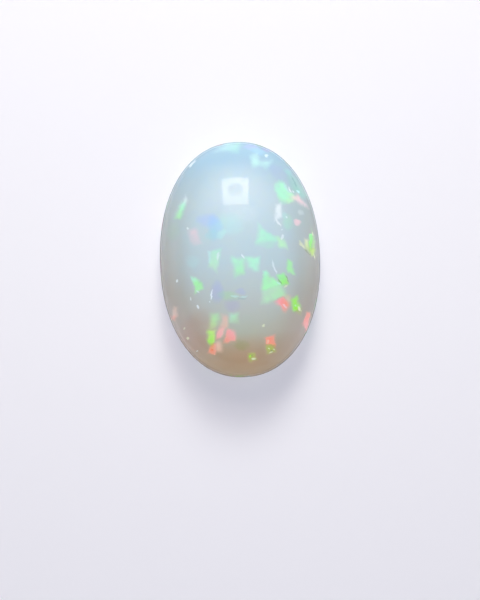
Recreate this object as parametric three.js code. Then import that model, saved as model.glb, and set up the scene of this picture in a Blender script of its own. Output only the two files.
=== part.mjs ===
// A polished oval opal cabochon: one solid stone with a high dome, a rounded girdle and a
// rounded back that is ground flat in the middle, so the stone rests with its dome up.
// Millimetres, +Z up, length along Y. The origin is the middle of the flat resting face.
import * as THREE from "three";

// Driving dimensions
const WIDTH = 10; // across the girdle, along X
const LENGTH = 14.7; // along the girdle, along Y
const HEIGHT = 5.2; // resting face to the top of the dome
const GIRDLE_HEIGHT = 1.05; // resting face to the widest line
const BACK_INSET = 1.25; // from the girdle in to the edge of the resting face
const OUTLINE_POWER = 2.15; // 2 is an ellipse, and more is fuller at the shoulders

// Facets
const SIDES = 96;
const DOME_STEPS = 24;
const BACK_STEPS = 8;

const HALF_WIDTH = WIDTH / 2;
const HALF_LENGTH = LENGTH / 2;
const DOME_HEIGHT = HEIGHT - GIRDLE_HEIGHT;

// The half section across the stone's width, from the middle of the resting face up to the top
// of the dome, as (distance from the axis, height) points.
function crossSection() {
  const section = new THREE.Path();
  const restingEdge = HALF_WIDTH - BACK_INSET;
  section.moveTo(0, 0);
  section.lineTo(restingEdge, 0);
  const points = section.getPoints(1);

  const back = new THREE.EllipseCurve(
    restingEdge, GIRDLE_HEIGHT, BACK_INSET, GIRDLE_HEIGHT, -Math.PI / 2, 0);
  const dome = new THREE.EllipseCurve(
    0, GIRDLE_HEIGHT, HALF_WIDTH, DOME_HEIGHT, 0, Math.PI / 2);
  points.push(...back.getPoints(BACK_STEPS).slice(1));
  points.push(...dome.getPoints(DOME_STEPS).slice(1, -1));
  points.push(new THREE.Vector2(0, HEIGHT));
  return points;
}

// A cosine or sine bent so that a round section becomes the stone's full-shouldered oval.
function fuller(value) {
  return Math.sign(value) * Math.abs(value) ** (2 / OUTLINE_POWER);
}

// How much longer than wide the stone is, at a place in its section. The dome keeps the girdle's
// proportions. The back is ground in by an even width all round, so it is a little more slender.
function lengthRatio(radius, height) {
  if (height >= GIRDLE_HEIGHT) return HALF_LENGTH / HALF_WIDTH;
  const inset = Math.min(HALF_WIDTH - radius, BACK_INSET);
  return (HALF_LENGTH - inset) / (HALF_WIDTH - inset);
}

// The section turned about the stone's axis, then drawn out to the oval outline.
function stoneGeometry() {
  const geometry = new THREE.LatheGeometry(crossSection(), SIDES);
  geometry.rotateX(Math.PI / 2);
  const place = geometry.getAttribute("position");
  for (let i = 0; i < place.count; i++) {
    const radius = Math.hypot(place.getX(i), place.getY(i));
    if (radius === 0) continue;
    const across = fuller(place.getX(i) / radius);
    const along = fuller(place.getY(i) / radius);
    const ratio = lengthRatio(radius, place.getZ(i));
    place.setXY(i, radius * across, radius * ratio * along);
  }
  geometry.computeVertexNormals();
  return geometry;
}

// Milky white precious opal with a polished surface.
const opal = new THREE.MeshStandardMaterial({ color: 0xbfd5dc, roughness: 0.06, metalness: 0 });

const stone = new THREE.Mesh(stoneGeometry(), opal);
stone.name = "opal_cabochon";

const specimen = new THREE.Group();
specimen.add(stone);

export default specimen;
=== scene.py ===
"""A polished oval opal cabochon on a pale studio floor.

The file is laid out as an add-on and is run as a script. One operator models the stone in place of the
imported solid, and one sets up the floor, the light and the camera. Objects are in metres. Places and sizes
on the stone's face are in millimetres from its middle, with +Y towards the bluish end.
"""
import math
from typing import NamedTuple

import bmesh
import bpy
from bpy.props import FloatProperty, FloatVectorProperty, IntProperty, PointerProperty
from mathutils import Matrix, Vector


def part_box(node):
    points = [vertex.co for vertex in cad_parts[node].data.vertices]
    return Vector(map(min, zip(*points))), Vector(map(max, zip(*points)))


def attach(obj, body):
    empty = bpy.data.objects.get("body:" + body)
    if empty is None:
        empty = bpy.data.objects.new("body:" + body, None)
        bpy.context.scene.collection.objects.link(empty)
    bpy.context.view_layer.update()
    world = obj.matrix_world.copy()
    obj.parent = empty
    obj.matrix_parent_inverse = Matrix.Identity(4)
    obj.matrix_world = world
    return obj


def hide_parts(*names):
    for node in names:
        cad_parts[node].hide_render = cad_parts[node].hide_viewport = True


bl_info = {
    "name": "Opal Cabochon",
    "version": (1, 0, 0),
    "blender": (4, 5, 0),
    "location": "View3D > Sidebar > Opal",
    "description": "Models a polished precious opal with play of colour, and a studio stage for it",
    "category": "Add Mesh",
}

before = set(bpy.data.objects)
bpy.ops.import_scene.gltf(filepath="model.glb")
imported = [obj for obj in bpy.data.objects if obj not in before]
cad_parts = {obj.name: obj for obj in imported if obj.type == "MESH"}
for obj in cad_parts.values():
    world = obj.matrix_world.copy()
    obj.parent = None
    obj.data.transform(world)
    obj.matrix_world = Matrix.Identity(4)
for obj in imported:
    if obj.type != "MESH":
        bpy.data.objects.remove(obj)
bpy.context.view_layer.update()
STONE_NODE = "opal_cabochon"
STONE_LOW, STONE_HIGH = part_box(STONE_NODE)
STONE_WIDTH, STONE_LENGTH, STONE_HEIGHT = (high - low for low, high in zip(STONE_LOW, STONE_HIGH))

MM = 0.001
MM_PER_METRE = 1000.0
MERGE_DISTANCE = 1e-6


def linear(hex_colour):
    """An sRGB hex colour as linear red, green and blue."""
    channels = [int(hex_colour[start:start + 2], 16) / 255 for start in (1, 3, 5)]
    return [c / 12.92 if c <= 0.04045 else ((c + 0.055) / 1.055) ** 2.4 for c in channels]


def colour_value(name, description, hex_colour):
    """A colour that a user can change."""
    return FloatVectorProperty(
        name=name, description=description, subtype="COLOR", size=3, min=0.0, max=1.0,
        default=linear(hex_colour))


def length_value(name, description, default):
    """A length that a user can change, in metres."""
    return FloatProperty(
        name=name, description=description, default=default, min=0.0, precision=5, unit="LENGTH")


def angle_value(name, description, degrees):
    """An angle that a user can change."""
    return FloatProperty(name=name, description=description, default=math.radians(degrees), subtype="ANGLE")


def number_value(name, description, default):
    """A plain number that a user can change."""
    return FloatProperty(name=name, description=description, default=default, min=0.0)


class OpalStoneSizes(bpy.types.PropertyGroup):
    """Sizes of the stone."""
    width: length_value("Width", "Across the girdle", STONE_WIDTH)
    length: length_value("Length", "Along the girdle", STONE_LENGTH)
    height: length_value("Height", "From the resting face to the top of the dome", STONE_HEIGHT)
    girdle_height: length_value("Girdle height", "From the resting face to the widest line", 1.05 * MM)
    back_inset: length_value("Back inset", "From the girdle in to the edge of the resting face", 1.25 * MM)
    outline_power: number_value(
        "Outline power", "2 is an ellipse, and more is fuller at the shoulders", 2.15)
    sides: IntProperty(name="Sides", description="Steps round the stone", default=192, min=16)


class OpalBodyColours(bpy.types.PropertyGroup):
    """Colours of the milky body, from the bluish end of the stone to the warm end: its own tone with
    painted light.
    """
    # Painted light: the end towards the lamps is bluish and the far end warm, for scattered and
    # passed-through light.
    sky_tip: colour_value("Sky tip", "Bluish tip", "#B8D6EE")
    sky_end: colour_value("Sky end", "Middle of the bluish end", "#D8EAF4")
    upper: colour_value("Upper", "Middle, between the bluish end and the centre", "#CBE1E8")
    centre: colour_value("Centre", "Middle of the stone", "#C8DDE1")
    lower: colour_value("Lower", "Middle, below the centre", "#CCD6D0")
    dusk: colour_value("Dusk", "Middle, where the blue has gone", "#CBD4C0")
    amber: colour_value("Amber", "Middle of the warm end", "#D5BF98")
    warm_tip: colour_value("Warm tip", "Warm brown tip", "#F2B176")
    # Painted shade: the rim colours are greyer, partly for the sides of the dome that turn away from the
    # light.
    rim_sky: colour_value("Rim, bluish end", "Edge of the bluish end", "#AAD1E6")
    rim_upper: colour_value("Rim, upper", "Edge between the bluish end and the centre", "#BED4D7")
    rim_centre: colour_value("Rim, centre", "Edge beside the centre", "#C8CEC6")
    rim_lower: colour_value("Rim, lower", "Edge below the centre", "#C7C4B6")
    rim_warm: colour_value("Rim, warm end", "Edge of the warm end", "#D8CCBC")
    rim_tip: colour_value("Rim, warm tip", "Edge of the warm tip", "#CBB28A")
    # Painted shade: a dark line at the girdle, for the shade and the dark reflection there.
    girdle: colour_value("Girdle", "Shaded line at the widest place", "#6C7276")


class OpalFlashColours(bpy.types.PropertyGroup):
    """Colours of the flashes in the stone."""
    frost: colour_value("Frost", "Bluish white glint", "#EAF7FA")
    aqua: colour_value("Aqua", "Pale blue green", "#C8F1F0")
    cyan: colour_value("Cyan", "Clear blue green", "#B0E2EC")
    teal: colour_value("Teal", "Deeper blue green", "#98CEC4")
    deep_teal: colour_value("Deep teal", "Dark blue green line", "#8AB6B8")
    sky: colour_value("Sky", "Light blue", "#AEDEFB")
    periwinkle: colour_value("Periwinkle", "Violet blue", "#BAD2FF")
    lavender: colour_value("Lavender", "Greyish violet blue", "#B9C6EE")
    lilac: colour_value("Lilac", "Greyish violet", "#C0C1DE")
    mint: colour_value("Mint", "Pale green with some blue", "#B7FADA")
    spring: colour_value("Spring", "Pale yellowish green", "#C3F6CC")
    jade: colour_value("Jade", "Clear light green", "#AFF6BE")
    leaf: colour_value("Leaf", "Soft green", "#A9F2AC")
    emerald: colour_value("Emerald", "Bright green", "#9AFCA6")
    lime: colour_value("Lime", "Vivid yellow green", "#94F04A")
    chartreuse: colour_value("Chartreuse", "Light yellow green", "#BEDE87")
    olive: colour_value("Olive", "Dull yellow green", "#A5B65A")
    moss: colour_value("Moss", "Dark green line", "#708C69")
    straw: colour_value("Straw", "Pale yellow", "#DEE6C4")
    rose: colour_value("Rose", "Pinkish red", "#FFA2AB")
    coral: colour_value("Coral", "Orange pink", "#F2917A")
    orange: colour_value("Orange", "Reddish orange", "#E49673")
    rust: colour_value("Rust", "Brownish orange", "#CD734B")
    peach: colour_value("Peach", "Pale orange pink", "#ECBEA6")
    blush: colour_value("Blush", "Pale pink", "#FADAE1")
    salmon: colour_value("Salmon", "Pale brownish pink", "#DEBEB0")


class OpalStage(bpy.types.PropertyGroup):
    """The floor, the light and the camera."""
    floor_colour: colour_value("Floor", "Pale matt floor", "#F8F8FA")
    fill_colour: colour_value("Fill", "Even light from all round, and from the fill lamps", "#F0F1FF")
    fill_strength: number_value("Fill strength", "Even light", 0.1)
    overhead_power: number_value("Overhead power", "Fill lamp above the stone, in watts", 0.08)
    front_power: number_value("Front power", "Fill lamp before the stone, in watts", 1.05)
    key_colour: colour_value("Key", "Light of the rear lamp", "#FAFDF7")
    rear_power: number_value("Rear power", "Lamp behind the stone, in watts", 0.0605)
    panel_colour: colour_value("Panel", "Light of the soft panel", "#FFF1EA")
    panel_strength: number_value("Panel strength", "Soft panel", 5.6)
    panel_middle: number_value("Panel middle", "Strength of the panel's shaded middle", 2.2)
    panel_elevation: angle_value("Panel elevation", "Height of the panel above the horizon", 43.8)
    panel_turn: angle_value("Panel turn", "Turn of the panel about the upright axis", 4.0)
    panel_distance: length_value("Panel distance", "From the stone to the panel", 0.14)
    panel_width: length_value("Panel width", "Across the panel", 0.066)
    panel_height: length_value("Panel height", "Up the panel", 0.0585)
    lens: number_value("Lens", "Focal length in millimetres", 180.0)
    view_height: length_value("View height", "Height of the picture at the girdle", 0.0375)
    view_drop: length_value("View drop", "From the stone's middle down to the picture's middle", 0.00252)
    view_roll: angle_value("View roll", "Turn of the camera about its line of sight", -1.66)


class Spot(NamedTuple):
    """An oval flash as it is seen from above the dome."""
    hue: str
    middle: Vector
    length: float
    width: float
    turn: float
    softness: float
    strength: float


class Shard(NamedTuple):
    """A flash with four straight sides. Its hue turns from the first corner to the third."""
    hue: str
    end_hue: str
    softness: float
    corners: tuple
    strength: float


CLOUD_SOFTNESS = 1.0
GLINT_SOFTNESS = 0.85
SPECK_SOFTNESS = 0.9
SPECK_STRENGTH = 0.7


def cloud(hue, middle, length, width, turn, strength):
    """A soft patch with no edge, deep in the stone."""
    return Spot(hue, Vector(middle), length, width, turn, CLOUD_SOFTNESS, strength)


def glint(hue, width, start, end, strength=0.85):
    """A streak from one place to another."""
    start = Vector(start)
    run = Vector(end) - start
    turn = math.degrees(math.atan2(run.y, run.x))
    return Spot(hue, start + run / 2, run.length, width, turn, GLINT_SOFTNESS, strength)


def speck(hue, middle, size):
    """A tiny round spot."""
    return Spot(hue, Vector(middle), size, size, 0.0, SPECK_SOFTNESS, SPECK_STRENGTH)


def shard(hue, end_hue, softness, *corners, strength=0.95):
    """A clear flash. The softness is the width over which its edge fades."""
    return Shard(hue, end_hue, softness, corners, strength)


# Deep soft patches, roughly from the bluish end to the warm end.
CLOUDS = [
    cloud("periwinkle", (0.91, 6.92), 1.25, 0.56, -10, 0.9),
    cloud("sky", (1.28, 6.66), 1.25, 0.56, -15, 0.8),
    cloud("lavender", (1.85, 6.80), 0.75, 0.44, -25, 0.8),
    cloud("lavender", (2.49, 5.34), 1.50, 1.12, -35, 0.3),
    cloud("cyan", (3.12, 5.29), 0.88, 0.56, -50, 0.75),
    # Painted light: a pale glow on the dome just below the panel's reflection.
    cloud("frost", (0.10, 2.79), 2.75, 1.62, 0, 0.3),
    cloud("mint", (2.69, 3.43), 0.75, 0.44, -20, 0.45),
    cloud("mint", (3.00, 2.20), 1.38, 0.88, 90, 0.35),
    cloud("aqua", (2.79, 2.65), 0.50, 0.56, 0, 0.5),
    cloud("frost", (3.82, 2.77), 0.44, 0.44, 0, 0.5),
    cloud("aqua", (-0.60, 2.12), 2.25, 1.75, 0, 0.5),
    cloud("periwinkle", (-1.91, 2.44), 1.75, 1.06, -5, 0.5),
    cloud("sky", (-1.48, 2.02), 1.75, 1.12, -70, 0.5),
    cloud("cyan", (-1.62, 1.49), 1.19, 0.88, 10, 0.55),
    cloud("aqua", (-1.09, 1.54), 1.06, 0.56, 50, 0.7),
    cloud("leaf", (-4.05, 1.84), 1.62, 1.12, 90, 0.1),
    cloud("mint", (1.68, 0.93), 1.62, 0.88, -10, 0.35),
    cloud("aqua", (-2.92, -0.06), 1.25, 1.06, 0, 0.3),
    cloud("lavender", (-1.44, -1.98), 1.75, 1.00, 88, 0.5),
    cloud("leaf", (-0.79, -2.22), 1.62, 0.81, -8, 0.3),
    cloud("lavender", (-0.00, -1.99), 0.88, 0.50, 0, 0.45),
    cloud("lilac", (-0.56, -2.79), 1.25, 1.06, 0, 0.4),
    cloud("olive", (-0.07, -5.31), 1.25, 0.88, 0, 0.3),
    cloud("rust", (-2.73, -4.45), 3.75, 2.62, 60, 0.17),
]

# Clear flashes, roughly from the bluish end to the warm end.
SHARDS = [
    shard("mint", "aqua", 0.50, (0.11, 7.19), (-0.64, 7.22), (-1.09, 6.85), (-0.03, 6.76), strength=0.5),
    shard("aqua", "aqua", 0.38, (0.86, 6.33), (1.21, 6.41), (1.35, 5.72), (1.03, 5.67), strength=0.85),
    shard("aqua", "aqua", 0.44, (1.20, 5.94), (1.57, 6.03), (1.95, 5.98), (1.75, 5.61), strength=0.75),
    shard("teal", "teal", 0.56, (3.17, 5.14), (3.73, 4.74), (4.23, 3.79), (3.63, 3.75), strength=0.9),
    shard("mint", "spring", 0.31, (2.63, 4.68), (3.57, 3.66), (3.12, 3.36), (2.45, 3.72)),
    shard("blush", "blush", 0.31, (3.32, 3.72), (3.61, 3.90), (4.12, 3.23), (3.62, 3.43), strength=0.8),
    shard("frost", "frost", 0.25, (2.31, 3.32), (2.55, 3.34), (2.57, 2.56), (2.25, 2.32), strength=0.85),
    shard("frost", "mint", 0.30, (-3.24, 3.88), (-3.15, 3.63), (-3.42, 3.17), (-3.60, 3.27), strength=0.8),
    shard("mint", "leaf", 0.40, (-3.50, 3.48), (-3.33, 3.35), (-3.59, 2.67), (-3.86, 2.74), strength=0.85),
    shard("blush", "blush", 0.50, (-3.02, 1.78), (-2.77, 1.84), (-2.51, 1.17), (-2.82, 1.12), strength=0.6),
    shard("mint", "mint", 0.42, (1.24, 1.97), (1.48, 1.78), (1.84, 1.30), (1.18, 0.97), strength=0.75),
    shard("mint", "mint", 0.30, (1.63, 1.46), (2.34, 1.22), (2.27, 1.05), (1.62, 1.05), strength=0.6),
    shard("spring", "spring", 0.31, (2.34, 1.19), (2.68, 1.12), (2.86, 0.61), (2.51, 0.68)),
    shard("straw", "chartreuse", 0.25, (4.05, 1.14), (4.23, 1.07), (4.32, 0.32), (4.07, 0.48)),
    shard("leaf", "chartreuse", 0.20,
          (4.51, 1.50), (4.67, 1.09), (4.66, 0.40), (4.47, 0.35), strength=0.65),
    shard("emerald", "lime", 0.16, (4.35, 1.41), (4.49, 1.41), (4.49, 0.35), (4.31, 0.48)),
    shard("chartreuse", "chartreuse", 0.25, (4.28, 0.54), (4.68, 0.53), (4.69, 0.12), (4.40, 0.07)),
    shard("aqua", "aqua", 0.20,
          (-1.91, 0.56), (-1.78, 0.56), (-1.78, -0.10), (-1.90, -0.09), strength=0.75),
    shard("mint", "spring", 0.38,
          (-1.26, 0.61), (-1.68, 0.52), (-1.83, -0.38), (-1.50, -0.64), strength=0.75),
    shard("mint", "jade", 0.40, (-0.41, 0.02), (0.15, -0.03), (0.19, -0.84), (-0.26, -1.02), strength=0.85),
    shard("mint", "mint", 0.33, (0.31, 0.06), (1.09, 0.04), (1.04, -0.68), (0.51, -0.51), strength=0.85),
    shard("leaf", "leaf", 0.23, (2.93, -0.17), (3.17, -0.27), (3.32, -1.03), (2.89, -0.83)),
    shard("spring", "leaf", 0.44,
          (1.38, -1.63), (2.54, -1.75), (2.72, -2.39), (1.35, -2.72), strength=0.65),
    shard("jade", "jade", 0.25, (1.40, -1.10), (1.83, -1.17), (2.46, -1.66), (1.41, -1.94)),
    shard("mint", "jade", 0.25, (1.39, -0.80), (1.59, -0.82), (1.75, -1.20), (1.39, -1.32)),
    shard("emerald", "lime", 0.23, (2.23, -1.09), (2.62, -0.93), (2.92, -1.61), (2.51, -1.69)),
    shard("mint", "leaf", 0.23, (-2.93, -1.07), (-2.73, -1.13), (-2.49, -1.42), (-2.83, -1.44)),
    shard("leaf", "leaf", 0.23, (-2.83, -1.32), (-2.49, -1.36), (-2.35, -1.74), (-2.77, -1.98)),
    shard("salmon", "salmon", 0.25,
          (-4.16, -2.91), (-4.01, -2.91), (-4.00, -3.41), (-4.33, -3.59), strength=0.65),
    shard("coral", "coral", 0.25,
          (-4.33, -3.40), (-4.11, -3.41), (-4.15, -3.66), (-4.30, -3.65), strength=0.4),
    shard("peach", "straw", 0.38, (2.71, -2.35), (2.95, -2.42), (2.97, -2.86), (2.69, -2.85), strength=0.5),
    shard("rose", "coral", 0.30, (2.17, -2.68), (2.55, -2.52), (2.91, -2.86), (2.67, -3.22)),
    shard("lime", "lime", 0.28, (3.07, -2.61), (3.42, -2.47), (3.56, -3.13), (3.21, -3.21)),
    shard("olive", "olive", 0.25, (3.43, -3.13), (3.68, -3.23), (3.60, -3.44), (3.37, -3.31), strength=0.6),
    shard("coral", "rose", 0.23, (4.04, -3.42), (4.23, -3.46), (4.02, -4.61), (3.80, -4.07)),
    shard("leaf", "chartreuse", 0.44,
          (-1.42, -3.45), (-1.82, -3.35), (-1.94, -4.22), (-1.56, -4.04), strength=0.7),
    shard("salmon", "peach", 0.31,
          (-1.17, -3.43), (-0.83, -3.50), (-0.94, -4.25), (-1.32, -4.24), strength=0.75),
    shard("salmon", "rose", 0.28,
          (-1.00, -4.18), (-1.32, -4.18), (-1.58, -4.79), (-1.21, -4.71), strength=0.9),
    shard("mint", "leaf", 0.38,
          (-0.67, -3.38), (-0.26, -3.39), (-0.31, -3.83), (-0.68, -3.79), strength=0.6),
    shard("chartreuse", "lime", 0.25, (-1.63, -4.37), (-2.07, -4.34), (-2.17, -5.03), (-1.86, -5.29)),
    shard("rose", "coral", 0.30, (-0.45, -4.46), (-0.85, -4.39), (-1.06, -5.12), (-0.51, -5.02)),
    shard("orange", "coral", 0.25, (-1.97, -5.22), (-1.63, -5.20), (-1.71, -5.76), (-2.08, -5.69)),
    shard("salmon", "peach", 0.38,
          (-1.66, -5.07), (-1.37, -5.05), (-1.33, -5.58), (-1.67, -5.57), strength=0.75),
    shard("coral", "coral", 0.25, (1.44, -4.91), (1.98, -4.80), (1.99, -5.43), (1.49, -5.35)),
    shard("olive", "olive", 0.25, (1.46, -5.44), (1.96, -5.46), (2.01, -5.77), (1.54, -5.85)),
    shard("olive", "olive", 0.25, (0.33, -5.91), (0.73, -5.86), (0.81, -6.21), (0.37, -6.26)),
]

# Streaks and tiny spots that lie over the clear flashes.
GLINTS = [
    glint("blush", 0.14, (2.51, -2.80), (2.84, -3.08), 0.7),
    glint("mint", 0.94, (2.40, 4.80), (2.92, 3.39), 0.95),
    glint("blush", 0.53, (3.45, 2.44), (3.74, 1.90), 0.9),
    glint("frost", 0.25, (1.73, 6.38), (1.98, 6.37)),
    glint("frost", 0.15, (-3.03, 5.78), (-2.58, 6.27), 0.7),
    glint("deep_teal", 0.12, (3.21, 5.17), (3.71, 4.28), 0.7),
    glint("aqua", 0.16, (2.69, 4.71), (3.29, 3.91), 0.6),
    glint("frost", 0.11, (3.13, 4.42), (3.31, 4.01)),
    glint("frost", 0.10, (3.34, 4.22), (3.44, 3.99)),
    glint("aqua", 0.22, (3.55, 4.22), (3.86, 4.02)),
    glint("frost", 0.17, (2.21, 2.48), (2.59, 1.81)),
    speck("frost", (2.62, 1.69), 0.12),
    speck("frost", (2.94, 2.52), 0.17),
    speck("frost", (-3.18, 1.97), 0.20),
    glint("frost", 0.19, (2.57, 1.06), (2.74, 1.46)),
    glint("straw", 0.22, (3.62, 1.09), (4.06, 0.45)),
    glint("straw", 0.12, (4.50, 1.64), (4.59, 1.25)),
    glint("straw", 0.12, (4.60, 0.25), (4.71, -0.22)),
    glint("moss", 0.10, (3.98, 0.49), (4.37, 0.07), 0.5),
    glint("frost", 0.19, (-1.29, 0.54), (-1.43, -0.11), 0.6),
    glint("frost", 0.17, (0.07, 0.38), (0.24, -0.06)),
    glint("frost", 0.16, (1.95, 0.01), (2.24, -1.09), 0.65),
    glint("aqua", 0.11, (2.14, -1.49), (2.48, -1.71), 0.7),
    glint("straw", 0.14, (2.57, -1.85), (2.94, -1.69)),
    glint("moss", 0.08, (2.67, -0.95), (3.00, -1.64), 0.5),
    glint("moss", 0.08, (2.21, -1.21), (2.55, -1.74), 0.5),
    glint("frost", 0.10, (-2.78, -1.85), (-2.50, -2.02), 0.6),
    speck("frost", (-3.92, -1.21), 0.17),
    glint("frost", 0.16, (-1.69, -1.69), (-1.85, -2.57)),
    speck("frost", (-1.93, -2.64), 0.13),
    glint("aqua", 0.16, (-0.70, -2.19), (-0.08, -2.35), 0.55),
    glint("aqua", 0.16, (-0.14, -2.35), (0.46, -2.19), 0.5),
    glint("deep_teal", 0.11, (-0.36, -2.43), (0.45, -2.40), 0.4),
    glint("frost", 0.12, (-3.09, -2.15), (-3.06, -2.47), 0.6),
    glint("frost", 0.14, (-2.73, -2.76), (-2.64, -3.04), 0.7),
    speck("spring", (3.35, -2.91), 0.16),
    glint("straw", 0.14, (3.45, -2.94), (3.68, -3.33)),
    speck("straw", (1.28, -4.11), 0.24),
    glint("chartreuse", 0.14, (-2.07, -4.53), (-2.11, -5.03)),
    glint("chartreuse", 0.15, (-1.69, -4.40), (-1.80, -4.79), 0.7),
    glint("peach", 0.20, (1.57, -4.92), (1.57, -5.38), 0.7),
    speck("rust", (-1.87, -5.52), 0.17),
    glint("straw", 0.14, (1.56, -5.81), (1.92, -5.76)),
    speck("straw", (1.65, -5.60), 0.11),
    speck("straw", (1.97, -5.61), 0.11),
    speck("moss", (1.80, -5.68), 0.15),
    glint("straw", 0.14, (0.44, -6.20), (0.88, -6.17)),
    speck("lime", (0.45, -6.04), 0.17),
    speck("moss", (0.58, -5.99), 0.11),
    speck("straw", (-3.33, -4.77), 0.24),
    speck("straw", (-3.54, -4.20), 0.15),
    speck("frost", (-2.78, -5.65), 0.13),
    speck("peach", (-1.71, -5.81), 0.13),
]


def add_node(tree, kind, settings=None, inputs=None):
    """Adds a node with its settings and inputs, where the setting "stops" fills a colour ramp.

    An input takes a value, an output, or a node, which gives its first output in use.
    """
    node = tree.nodes.new(kind)
    for name, value in (settings or {}).items():
        if name == "stops":
            place_stops(node.color_ramp.elements, value)
        else:
            setattr(node, name, value)
    for name, value in (inputs or {}).items():
        socket = node.inputs[name]
        if isinstance(name, str):
            socket = next(s for s in node.inputs if s.name == name and s.enabled)
        if isinstance(value, bpy.types.Node):
            value = next(s for s in value.outputs if s.enabled)
        if isinstance(value, bpy.types.NodeSocket):
            tree.links.new(value, socket)
        else:
            socket.default_value = value
    return node


def place_stops(elements, stops):
    """Sets a colour ramp's stops from (place, colour) pairs."""
    while len(elements) < len(stops):
        elements.new(1.0)
    for element, (place, rgb) in zip(elements, stops):
        element.position = place
        element.color = (*rgb, 1.0)


SMOOTH = {"interpolation_type": "SMOOTHSTEP"}
LAYER_INPUTS = {
    "Under": "Color", "Cover": "Float", "Plan": "Vector", "Grain": "Float", "Strength": "Float",
    "Hue": "Color",
}
SPOT_INPUTS = {"Along": "Vector", "Beside": "Vector", "Full At": "Float"}
SHARD_EDGES = ["Edge 1", "Edge 2", "Edge 3", "Edge 4"]
SHARD_INPUTS = {**dict.fromkeys(SHARD_EDGES, "Vector"), "Run": "Vector", "End Hue": "Color"}
LAYER_OUTPUTS = {"Color": "Color", "Cover": "Float"}

# A shard fades in from 0 outside it to 1 inside it. Its straight sides lie at this level of the fade, and
# its corners are rounded over this much of it.
EDGE_LEVEL = 0.65
CORNER_ROUNDING = 0.55


def new_group(name, inputs, outputs):
    """An empty node group, and the sockets that it is given."""
    tree = bpy.data.node_groups.new(name, "ShaderNodeTree")
    for socket, kind in inputs.items():
        tree.interface.new_socket(name=socket, in_out="INPUT", socket_type="NodeSocket" + kind)
    for socket, kind in outputs.items():
        tree.interface.new_socket(name=socket, in_out="OUTPUT", socket_type="NodeSocket" + kind)
    return tree, add_node(tree, "NodeGroupInput").outputs


def measures(tree, given, rows):
    """How far a point is along each of the named rows of a flash's own measures."""
    products = []
    for row in rows:
        product = add_node(tree, "ShaderNodeVectorMath", {"operation": "DOT_PRODUCT"}, {
            0: given["Plan"], 1: given[row]})
        products.append(product.outputs["Value"])
    return products


def lay_over(tree, given, shape, hue):
    """Lays a flash's hue over the colour under it, and adds its cover."""
    mask = add_node(tree, "ShaderNodeMath", {"operation": "MULTIPLY"}, {0: shape, 1: given["Grain"]})
    result = add_node(tree, "ShaderNodeMix", {"data_type": "RGBA"}, {
        "Factor": mask, "A": given["Under"], "B": hue})
    cover = add_node(tree, "ShaderNodeMath", {"operation": "MAXIMUM"}, {0: given["Cover"], 1: mask})
    add_node(tree, "NodeGroupOutput", None, {"Color": result, "Cover": cover})


def spot_group():
    """A node group that lays one oval flash over the colour under it."""
    tree, given = new_group("opal_spot", LAYER_INPUTS | SPOT_INPUTS, LAYER_OUTPUTS)
    along, beside = measures(tree, given, ["Along", "Beside"])
    square = add_node(tree, "ShaderNodeMath", {"operation": "MULTIPLY"}, {0: along, 1: along})
    spread = add_node(tree, "ShaderNodeMath", {"operation": "MULTIPLY_ADD"}, {
        0: beside, 1: beside, 2: square})
    shape = add_node(tree, "ShaderNodeMapRange", SMOOTH, {
        "Value": spread, "From Min": 1.0, "From Max": given["Full At"], "To Max": given["Strength"]})
    lay_over(tree, given, shape, given["Hue"])
    return tree


def shard_group():
    """A node group that lays one four-sided flash over the colour under it."""
    tree, given = new_group("opal_shard", LAYER_INPUTS | SHARD_INPUTS, LAYER_OUTPUTS)
    inside, *others, run = measures(tree, given, [*SHARD_EDGES, "Run"])
    for other in others:
        inside = add_node(tree, "ShaderNodeMath", {"operation": "SMOOTH_MIN"}, {
            0: inside, 1: other, 2: CORNER_ROUNDING})
    shape = add_node(tree, "ShaderNodeMapRange", SMOOTH, {"Value": inside, "To Max": given["Strength"]})
    hue = add_node(tree, "ShaderNodeMix", {"data_type": "RGBA"}, {
        "Factor": run, "A": given["Hue"], "B": given["End Hue"]})
    lay_over(tree, given, shape, hue)
    return tree


def row_along(axis, start, at_start=0.0):
    """What a point (across, along, 1) is multiplied by to measure it along an axis from a start."""
    return (axis.x, axis.y, at_start - axis.dot(start))


def spot_values(flash):
    """A spot's own measures, which run from -1 to 1 from side to side of it."""
    turn = Matrix.Rotation(math.radians(flash.turn), 2)
    return {
        "Along": row_along(turn.col[0] * (2 / flash.length), flash.middle),
        "Beside": row_along(turn.col[1] * (2 / flash.width), flash.middle),
        "Full At": 1.0 - flash.softness,
    }


def shard_values(flash, palette):
    """A shard's own measures: inwards over each side, and from its first corner to its third."""
    corners = [Vector(corner) for corner in flash.corners]
    middle = sum(corners, Vector((0.0, 0.0))) / len(corners)
    values = {"End Hue": (*getattr(palette, flash.end_hue), 1.0)}
    for edge, start, end in zip(SHARD_EDGES, corners, corners[1:] + corners[:1]):
        side = end - start
        inward = Vector((-side.y, side.x)).normalized() / flash.softness
        if inward.dot(middle - start) < 0:
            inward.negate()
        values[edge] = row_along(inward, start, EDGE_LEVEL)
    run = corners[2] - corners[0]
    values["Run"] = row_along(run / run.length_squared, corners[0])
    return values


def lay_flashes(tree, flashes, groups, palette, plan, grain, under):
    """Lays the flashes one over another, and gives the last colour and how much they cover."""
    cover = 0.0
    for flash in flashes:
        kind = type(flash)
        values = spot_values(flash) if kind is Spot else shard_values(flash, palette)
        node = add_node(tree, "ShaderNodeGroup", {"node_tree": groups[kind]}, {
            "Under": under,
            "Cover": cover,
            "Plan": plan,
            "Grain": grain,
            "Strength": flash.strength,
            "Hue": (*getattr(palette, flash.hue), 1.0),
            **values,
        })
        under = node.outputs["Color"]
        cover = node.outputs["Cover"]
    return under, cover


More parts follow.
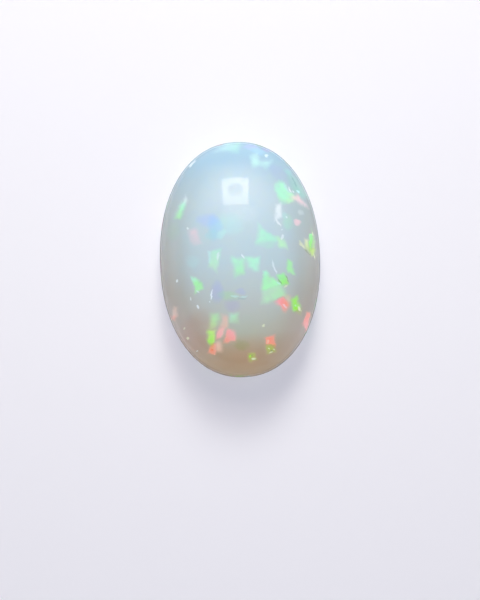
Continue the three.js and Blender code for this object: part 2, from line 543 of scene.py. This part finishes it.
# Places of the body's colours along the stone, from 0 at the warm tip to 1 at the bluish tip.
MIDDLE_STOPS = [
    (0.05, "warm_tip"), (0.12, "amber"), (0.19, "dusk"), (0.3, "lower"),
    (0.48, "centre"), (0.68, "upper"), (0.89, "sky_end"), (0.97, "sky_tip"),
]
RIM_STOPS = [
    (0.04, "rim_tip"), (0.2, "rim_warm"), (0.36, "rim_lower"),
    (0.52, "rim_centre"), (0.75, "rim_upper"), (0.92, "rim_sky"),
]
# The rim's greyer colours, partly painted shade, come in from half way out to the girdle.
TOWARDS_RIM = {"From Min": 0.5, "From Max": 1.0}


def body_colour(tree, body, sizes, millimetres):
    """The milky body, its own tone with painted light: bluish towards the lamps, warm away from them, and
    greyer at the rim, partly as painted shade.
    """
    half_width = sizes.width / 2 / MM
    half_length = sizes.length / 2 / MM
    scaled = add_node(tree, "ShaderNodeMapping", None, {
        "Vector": millimetres, "Scale": (1 / half_width, 1 / half_length, 0.0)})
    along = add_node(tree, "ShaderNodeSeparateXYZ", None, {0: scaled}).outputs["Y"]
    place = add_node(tree, "ShaderNodeMapRange", None, {"Value": along, "From Min": -1.0})
    middle, rim = (
        add_node(tree, "ShaderNodeValToRGB", {
            "stops": [(stop, getattr(body, name)) for stop, name in stops]}, {"Fac": place})
        for stops in (MIDDLE_STOPS, RIM_STOPS))
    out = add_node(tree, "ShaderNodeVectorMath", {"operation": "LENGTH"}, {0: scaled}).outputs["Value"]
    towards_rim = add_node(tree, "ShaderNodeMapRange", SMOOTH, {"Value": out, **TOWARDS_RIM})
    return add_node(tree, "ShaderNodeMix", {"data_type": "RGBA"}, {
        "Factor": towards_rim, "A": middle, "B": rim})


# Flashes round the sides: their size and the heights where they come in, in millimetres, which of the
# cells are lit, and how far in from its edge a cell is clear.
SIDE_FLASH_SIZE = 0.9
SIDE_FLASH_HEIGHTS = {"From Min": 2.1, "From Max": 1.3, "To Max": 0.6}
SIDE_FLASH_CHANCE = {"From Min": 0.6, "From Max": 0.75}
SIDE_FLASH_EDGE = {"From Min": 0.04, "From Max": 0.16}
SIDE_FLASH_HUES = ["mint", "leaf", "emerald", "aqua", "sky", "lavender", "rose", "lime"]


def side_flashes(tree, palette, millimetres, height, under):
    """Lays small angular flashes of mixed hues round the sides and the back."""
    cells = {"Vector": millimetres, "Scale": 1 / SIDE_FLASH_SIZE}
    cell = add_node(tree, "ShaderNodeTexVoronoi", None, cells).outputs["Color"]
    edge = add_node(tree, "ShaderNodeTexVoronoi", {"feature": "DISTANCE_TO_EDGE"}, cells)
    chance = add_node(tree, "ShaderNodeSeparateColor", None, {0: cell}).outputs
    hue = add_node(tree, "ShaderNodeValToRGB", {"stops": [
        (place / len(SIDE_FLASH_HUES), getattr(palette, name))
        for place, name in enumerate(SIDE_FLASH_HUES)]}, {"Fac": chance["Red"]})
    mask = add_node(tree, "ShaderNodeMapRange", SMOOTH, {"Value": height, **SIDE_FLASH_HEIGHTS})
    for value, fade in ((chance["Green"], SIDE_FLASH_CHANCE), (edge, SIDE_FLASH_EDGE)):
        part = add_node(tree, "ShaderNodeMapRange", SMOOTH, {"Value": value, **fade})
        mask = add_node(tree, "ShaderNodeMath", {"operation": "MULTIPLY"}, {0: mask, 1: part})
    return add_node(tree, "ShaderNodeMix", {"data_type": "RGBA"}, {"Factor": mask, "A": under, "B": hue})


# The polish: the width of its uneven patches in millimetres, its roughness, and the heights in millimetres
# where it turns to satin towards the girdle.
POLISH_PATCH = 2.5
POLISH_ROUGHNESS = {"From Min": 0.3, "From Max": 0.7, "To Min": 0.012, "To Max": 0.03}
SATIN_GIRDLE = {"From Min": 2.3, "From Max": 1.3, "To Max": 0.7}

# Grinding marks on the back, to the millimetre along and across them, and the heights where they come in.
# Real ones are finer, and are drawn coarser so that they show.
MARKS_PER_MM = (0.4, 9.0, 9.0)
MARKS_TURN = math.radians(20)
MARKS_DETAIL = 3.0
MARKS_STRENGTH = 0.4
MARKS_DEPTH = 0.02 * MM
MARKS_HEIGHTS = {"From Min": 1.2, "From Max": 0.6}


def polished_surface(tree, millimetres, height):
    """A high polish on the dome, a satin girdle, and a back left with fine grinding marks."""
    uneven = add_node(tree, "ShaderNodeTexNoise", None, {"Vector": millimetres, "Scale": 1 / POLISH_PATCH})
    polish = add_node(tree, "ShaderNodeMapRange", None, {"Value": uneven, **POLISH_ROUGHNESS})
    satin = add_node(tree, "ShaderNodeMapRange", SMOOTH, {"Value": height, **SATIN_GIRDLE})
    roughness = add_node(tree, "ShaderNodeMath", {"operation": "MAXIMUM"}, {0: polish, 1: satin})

    stretched = add_node(tree, "ShaderNodeMapping", None, {
        "Vector": millimetres, "Rotation": (0.0, 0.0, MARKS_TURN), "Scale": MARKS_PER_MM})
    marks = add_node(tree, "ShaderNodeTexNoise", None, {
        "Vector": stretched, "Scale": 1.0, "Detail": MARKS_DETAIL})
    on_back = add_node(tree, "ShaderNodeMapRange", SMOOTH, {"Value": height, **MARKS_HEIGHTS})
    depth = add_node(tree, "ShaderNodeMath", {"operation": "MULTIPLY"}, {0: marks, 1: on_back})
    bump = add_node(tree, "ShaderNodeBump", None, {
        "Strength": MARKS_STRENGTH, "Distance": MARKS_DEPTH, "Height": depth})
    return roughness, bump


# Ragged edges of the flashes: the width of a tooth, and how far it can move an edge from side to side, in
# millimetres.
TOOTH_WIDTH = 0.7
TOOTH_REACH = 0.45
TOOTH_DETAIL = 4.0
TOOTH_ROUGHNESS = 0.6
NOISE_MIDDLE = (0.5, 0.5, 0.5)


def ragged_plan(tree, millimetres):
    """A point as (across, along, 1) seen from above, moved a little to make the flashes ragged."""
    teeth = add_node(tree, "ShaderNodeTexNoise", None, {
        "Vector": millimetres, "Scale": 1 / TOOTH_WIDTH, "Detail": TOOTH_DETAIL,
        "Roughness": TOOTH_ROUGHNESS}).outputs["Color"]
    shift = add_node(tree, "ShaderNodeVectorMath", {"operation": "SUBTRACT"}, {0: teeth, 1: NOISE_MIDDLE})
    moved = add_node(tree, "ShaderNodeVectorMath", {"operation": "MULTIPLY_ADD"}, {
        0: shift, 1: (TOOTH_REACH, TOOTH_REACH, 0.0), 2: millimetres})
    return add_node(tree, "ShaderNodeVectorMath", {"operation": "MULTIPLY_ADD"}, {
        0: moved, 1: (1.0, 1.0, 0.0), 2: (0.0, 0.0, 1.0)})


# Grain in the flashes: its size in millimetres, how much of a flash it leaves, and the heights in
# millimetres over which the flashes come in above the back.
GRAIN_SIZE = 0.5
GRAIN_DETAIL = 3.0
GRAIN_STRENGTH = {"From Min": 0.3, "From Max": 0.6, "To Min": 0.72, "To Max": 1.0}
FLASH_HEIGHTS = {"From Min": 1.0, "From Max": 1.8}


def flash_grain(tree, millimetres, height):
    """How much of a flash shows: unevenly on the dome, and not at all on the back."""
    fine = add_node(tree, "ShaderNodeTexNoise", None, {
        "Vector": millimetres, "Scale": 1 / GRAIN_SIZE, "Detail": GRAIN_DETAIL}).outputs["Fac"]
    grain = add_node(tree, "ShaderNodeMapRange", None, {"Value": fine, **GRAIN_STRENGTH})
    on_dome = add_node(tree, "ShaderNodeMapRange", SMOOTH, {"Value": height, **FLASH_HEIGHTS})
    return add_node(tree, "ShaderNodeMath", {"operation": "MULTIPLY"}, {0: grain, 1: on_dome})


# The painted glow is weakest on the part of the dome that faces this way, to the rear lamp.
LAMP_SIDE = (0.0, 0.25, 1.0)
PAINTED_GLOW = {"From Min": 5.4, "From Max": 2.0, "To Min": 0.05, "To Max": 0.45}


def painted_flash_glow(tree, millimetres, cover):
    """A small painted glow: emission that keeps the flashes bright on the sides away from the lamp."""
    facing = add_node(tree, "ShaderNodeVectorMath", {"operation": "DOT_PRODUCT"}, {
        0: millimetres, 1: LAMP_SIDE}).outputs["Value"]
    away = add_node(tree, "ShaderNodeMapRange", SMOOTH, {"Value": facing, **PAINTED_GLOW})
    return add_node(tree, "ShaderNodeMath", {"operation": "MULTIPLY"}, {0: cover, 1: away})


# Light goes far into the milk, red the farthest, and hardly into a flash. The girdle's painted shade, which
# stands in for shade and a dark reflection at the girdle, comes in between these heights in millimetres.
OPAL_IOR = 1.45
MILK_SCALE = 0.8 * MM
MILK_REACH = (1.0, 0.75, 0.55)
MILK_DEPTH = {"To Min": 0.7, "To Max": 0.05}
GIRDLE_PAINTED_SHADE = {"From Min": 1.95, "From Max": 1.25, "To Max": 0.5}


def precious_opal(sizes, body, palette):
    """Precious opal with a high polish: a milky body that light goes into, with a painted glow in its
    flashes, under a glassy surface.
    """
    material = bpy.data.materials.new("precious_opal")
    material.use_nodes = True
    tree = material.node_tree
    tree.nodes.clear()

    coordinates = add_node(tree, "ShaderNodeTexCoord").outputs["Object"]
    millimetres = add_node(tree, "ShaderNodeVectorMath", {"operation": "SCALE"}, {
        0: coordinates, "Scale": MM_PER_METRE})
    height = add_node(tree, "ShaderNodeSeparateXYZ", None, {0: millimetres}).outputs["Z"]
    plan = ragged_plan(tree, millimetres)
    grain = flash_grain(tree, millimetres, height)

    milk = body_colour(tree, body, sizes, millimetres)
    milk = side_flashes(tree, palette, millimetres, height, milk)
    # Painted shade: the band at the girdle is darkened towards the girdle colour.
    girdle_painted_shade = add_node(tree, "ShaderNodeMapRange", SMOOTH, {"Value": height, **GIRDLE_PAINTED_SHADE})
    milk = add_node(tree, "ShaderNodeMix", {"data_type": "RGBA"}, {
        "Factor": girdle_painted_shade, "A": milk, "B": (*body.girdle, 1.0)})
    # The clouds are part of the milk, so only the flashes over them count as cover.
    groups = {Spot: spot_group(), Shard: shard_group()}
    milk, _ = lay_flashes(tree, CLOUDS, groups, palette, plan, grain, milk)
    face, cover = lay_flashes(tree, SHARDS + GLINTS, groups, palette, plan, grain, milk)

    depth = add_node(tree, "ShaderNodeMapRange", None, {"Value": cover, **MILK_DEPTH})
    # Painted glow: the flashes give out light in their own colours, most on the side away from the rear
    # lamp.
    glow = painted_flash_glow(tree, millimetres, cover)
    roughness, bump = polished_surface(tree, millimetres, height)
    shader = add_node(tree, "ShaderNodeBsdfPrincipled", None, {
        "Base Color": face,
        "Roughness": roughness,
        "IOR": OPAL_IOR,
        "Normal": bump,
        "Subsurface Weight": depth,
        "Subsurface Radius": MILK_REACH,
        "Subsurface Scale": MILK_SCALE,
        # The emission is the painted glow of the flashes.
        "Emission Color": face,
        "Emission Strength": glow,
    })
    add_node(tree, "ShaderNodeOutputMaterial", None, {"Surface": shader})
    return material


DOME_STEPS = 72
BACK_STEPS = 20


def quarter_arc(mesh, turn, steps, size, middle):
    """A quarter ellipse in the XZ plane, from its end on +X."""
    before = set(mesh.verts)
    start = bmesh.ops.create_vert(mesh, co=(1.0, 0.0, 0.0))["vert"]
    bmesh.ops.spin(mesh, geom=start, axis=(0.0, 1.0, 0.0), angle=turn, steps=steps)
    arc = [vert for vert in mesh.verts if vert not in before]
    bmesh.ops.scale(mesh, vec=size, verts=arc)
    bmesh.ops.translate(mesh, vec=middle, verts=arc)


def half_section(mesh, sizes):
    """The stone's half section across its width: the dome, the rounded back and the resting face."""
    half_width = sizes.width / 2
    resting_edge = half_width - sizes.back_inset
    girdle = sizes.girdle_height
    quarter_arc(mesh, -math.pi / 2, DOME_STEPS, (half_width, 1.0, sizes.height - girdle), (0, 0, girdle))
    quarter_arc(mesh, math.pi / 2, BACK_STEPS, (sizes.back_inset, 1.0, girdle), (resting_edge, 0, girdle))
    lowest = min(mesh.verts, key=lambda vert: vert.co.z)
    inward = bmesh.ops.extrude_vert_indiv(mesh, verts=[lowest])["verts"]
    bmesh.ops.translate(mesh, vec=(-resting_edge, 0.0, 0.0), verts=inward)
    bmesh.ops.remove_doubles(mesh, verts=mesh.verts, dist=MERGE_DISTANCE)


def fuller(value, power):
    """A cosine or sine bent so that a round section becomes a full-shouldered oval."""
    return math.copysign(abs(value) ** (2 / power), value)


def draw_out(mesh, sizes):
    """Draws the round stone out to its oval. The back is ground in by an even width all round."""
    half_width = sizes.width / 2
    half_length = sizes.length / 2
    for vert in mesh.verts:
        radius = vert.co.xy.length
        if radius < MERGE_DISTANCE:
            continue
        inset = 0.0
        if vert.co.z < sizes.girdle_height:
            inset = min(half_width - radius, sizes.back_inset)
        ratio = (half_length - inset) / (half_width - inset)
        across = fuller(vert.co.x / radius, sizes.outline_power)
        along = fuller(vert.co.y / radius, sizes.outline_power)
        vert.co.x = radius * across
        vert.co.y = radius * along * ratio


def object_from(mesh, name, material):
    """A smooth object made from a bmesh, in the scene."""
    for face in mesh.faces:
        face.smooth = True
    data = bpy.data.meshes.new(name)
    mesh.to_mesh(data)
    mesh.free()
    data.materials.append(material)
    made = bpy.data.objects.new(name, data)
    bpy.context.scene.collection.objects.link(made)
    return made


class OPAL_OT_add_stone(bpy.types.Operator):
    """Model the polished stone in place of its solid"""
    bl_idname = "opal.add_stone"
    bl_label = "Add Stone"

    def execute(self, context):
        sizes = context.scene.opal_stone
        mesh = bmesh.new()
        half_section(mesh, sizes)
        bmesh.ops.spin(
            mesh, geom=mesh.verts[:] + mesh.edges[:], axis=(0.0, 0.0, 1.0), angle=math.tau,
            steps=sizes.sides, use_merge=True)
        bmesh.ops.remove_doubles(mesh, verts=mesh.verts, dist=MERGE_DISTANCE)
        draw_out(mesh, sizes)
        bmesh.ops.recalc_face_normals(mesh, faces=mesh.faces)
        material = precious_opal(sizes, context.scene.opal_body, context.scene.opal_flashes)
        stone = object_from(mesh, "polished_opal", material)
        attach(stone, "root")
        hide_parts(STONE_NODE)
        return {"FINISHED"}


FLOOR_HALF = 2.0
FLOOR_ROUGHNESS = 0.7
FLOOR_SPECULAR = 0.2


def pale_floor(stage):
    """Matt white board: an even, slightly lavender white with no shine."""
    material = bpy.data.materials.new("matt_white_board")
    material.use_nodes = True
    shader = material.node_tree.nodes["Principled BSDF"]
    shader.inputs["Base Color"].default_value = (*stage.floor_colour, 1.0)
    shader.inputs["Roughness"].default_value = FLOOR_ROUGHNESS
    shader.inputs["Specular IOR Level"].default_value = FLOOR_SPECULAR
    return material


def soft_light(stage, name, strength):
    """Diffused lamp cloth: an even white glow."""
    material = bpy.data.materials.new(name)
    material.use_nodes = True
    tree = material.node_tree
    tree.nodes.clear()
    glow = add_node(tree, "ShaderNodeEmission", None, {
        "Color": (*stage.panel_colour, 1.0), "Strength": strength})
    add_node(tree, "ShaderNodeOutputMaterial", None, {"Surface": glow})
    return material


# The shaded middle's width, in widths of the panel.
PANEL_MIDDLE = 0.5
PANEL_CORNERS = 4
PANEL_EDGE_CUTS = 7


def light_panel(stage):
    """A square soft panel with a round shaded middle, turned to face the stone."""
    mesh = bmesh.new()
    outer = bmesh.ops.create_circle(mesh, segments=PANEL_CORNERS, radius=math.sqrt(0.5))["verts"]
    bmesh.ops.rotate(mesh, matrix=Matrix.Rotation(math.radians(45), 3, "Z"), verts=outer)
    bmesh.ops.subdivide_edges(mesh, edges=mesh.edges[:], cuts=PANEL_EDGE_CUTS)
    segments = PANEL_CORNERS * (PANEL_EDGE_CUTS + 1)
    bmesh.ops.create_circle(mesh, segments=segments, radius=PANEL_MIDDLE / 2)
    rims = mesh.edges[:]
    bmesh.ops.bridge_loops(mesh, edges=rims)
    for face in bmesh.ops.edgeloop_fill(mesh, edges=rims[-segments:])["faces"]:
        face.material_index = 1
    bmesh.ops.scale(mesh, vec=(stage.panel_width, stage.panel_height, 1.0), verts=mesh.verts)
    # The panel is first turned back in its own plane, so that its sides stay upright in the picture.
    tilt = Matrix.Rotation(stage.panel_elevation - math.radians(90), 4, "X")
    away = Matrix.Translation((0.0, 0.0, stage.panel_distance))
    turn = Matrix.Rotation(stage.panel_turn, 4, "Z")
    bmesh.ops.transform(mesh, matrix=turn @ tilt @ away @ turn.inverted(), verts=mesh.verts)
    panel = object_from(mesh, "soft_panel", soft_light(stage, "diffuser_cloth", stage.panel_strength))
    panel.data.materials.append(soft_light(stage, "shaded_cloth", stage.panel_middle))
    return panel


OVERHEAD_PLACE = Vector((0.0, 0.02, 0.15))
FRONT_PLACE = Vector((0.0, -0.42, 0.42))
REAR_PLACE = Vector((0.008, 0.105, 0.076))
ROUND_LAMP = (0.06, 0.06)
OVAL_LAMP = (0.05, 0.04)


def soft_lamp(scene, name, place, size, power, tint):
    """An oval lamp turned to the stone. The polish does not mirror it."""
    light = bpy.data.lights.new(name, "AREA")
    light.shape = "ELLIPSE"
    light.size, light.size_y = size
    light.energy = power
    light.color = tint
    lamp = bpy.data.objects.new(name, light)
    lamp.location = place
    lamp.rotation_euler = place.to_track_quat("Z", "Y").to_euler()
    lamp.visible_glossy = False
    scene.collection.objects.link(lamp)
    return light


def add_lamps(scene, stage):
    """A rear lamp that throws the soft shadow, and two fill lamps that throw none."""
    soft_lamp(scene, "rear_lamp", REAR_PLACE, OVAL_LAMP, stage.rear_power, stage.key_colour)
    fill = stage.fill_colour
    overhead = soft_lamp(scene, "overhead_lamp", OVERHEAD_PLACE, ROUND_LAMP, stage.overhead_power, fill)
    front = soft_lamp(scene, "front_lamp", FRONT_PLACE, ROUND_LAMP, stage.front_power, fill)
    overhead.use_shadow = False
    front.use_shadow = False


def even_fill(stage):
    """A world that lights everything evenly and weakly."""
    world = bpy.data.worlds.new("even_fill")
    world.use_nodes = True
    glow = world.node_tree.nodes["Background"]
    glow.inputs["Color"].default_value = (*stage.fill_colour, 1.0)
    glow.inputs["Strength"].default_value = stage.fill_strength
    return world


CLIP_START = 0.01


def camera_above(stage, girdle_height):
    """A camera that looks straight down at the stone, from where the picture is as high as asked."""
    camera = bpy.data.cameras.new("camera")
    camera.lens = stage.lens
    camera.clip_start = CLIP_START
    height = girdle_height + stage.view_height * stage.lens / camera.sensor_width
    turn = Matrix.Rotation(stage.view_roll, 4, "Z")
    viewer = bpy.data.objects.new("camera", camera)
    viewer.matrix_world = turn @ Matrix.Translation((0.0, -stage.view_drop, height))
    return viewer


class OPAL_OT_add_stage(bpy.types.Operator):
    """Set up the floor, the light and the camera"""
    bl_idname = "opal.add_stage"
    bl_label = "Add Stage"

    def execute(self, context):
        scene = context.scene
        stage = scene.opal_stage
        mesh = bmesh.new()
        bmesh.ops.create_grid(mesh, x_segments=1, y_segments=1, size=FLOOR_HALF)
        floor = object_from(mesh, "floor", pale_floor(stage))
        light_panel(stage)
        add_lamps(scene, stage)
        scene.world = even_fill(stage)
        scene.view_settings.view_transform = "Standard"
        viewer = camera_above(stage, scene.opal_stone.girdle_height)
        scene.collection.objects.link(viewer)
        scene.camera = viewer
        return {"FINISHED"}


PANEL_PARTS = {
    OPAL_OT_add_stage.bl_idname: ["opal_stage"],
    OPAL_OT_add_stone.bl_idname: ["opal_stone", "opal_body", "opal_flashes"],
}


class OPAL_PT_panel(bpy.types.Panel):
    """The stone's and the stage's values, with a button for each"""
    bl_label = "Opal Cabochon"
    bl_space_type = "VIEW_3D"
    bl_region_type = "UI"
    bl_category = "Opal"

    def draw(self, context):
        for operator, groups in PANEL_PARTS.items():
            box = self.layout.box()
            for group in groups:
                values = getattr(context.scene, group)
                for name in values.__annotations__:
                    box.prop(values, name)
            box.operator(operator)


PROPERTY_GROUPS = {
    "opal_stone": OpalStoneSizes,
    "opal_body": OpalBodyColours,
    "opal_flashes": OpalFlashColours,
    "opal_stage": OpalStage,
}
CLASSES = [*PROPERTY_GROUPS.values(), OPAL_OT_add_stage, OPAL_OT_add_stone, OPAL_PT_panel]


def register():
    """Registers the classes and gives each scene its values."""
    for cls in CLASSES:
        bpy.utils.register_class(cls)
    for name, group in PROPERTY_GROUPS.items():
        setattr(bpy.types.Scene, name, PointerProperty(type=group))


def unregister():
    """Takes the values and the classes away again."""
    for name in PROPERTY_GROUPS:
        delattr(bpy.types.Scene, name)
    for cls in reversed(CLASSES):
        bpy.utils.unregister_class(cls)


def main():
    """Makes the stage and the stone."""
    register()
    bpy.ops.opal.add_stage()
    bpy.ops.opal.add_stone()


if __name__ == "__main__":
    main()
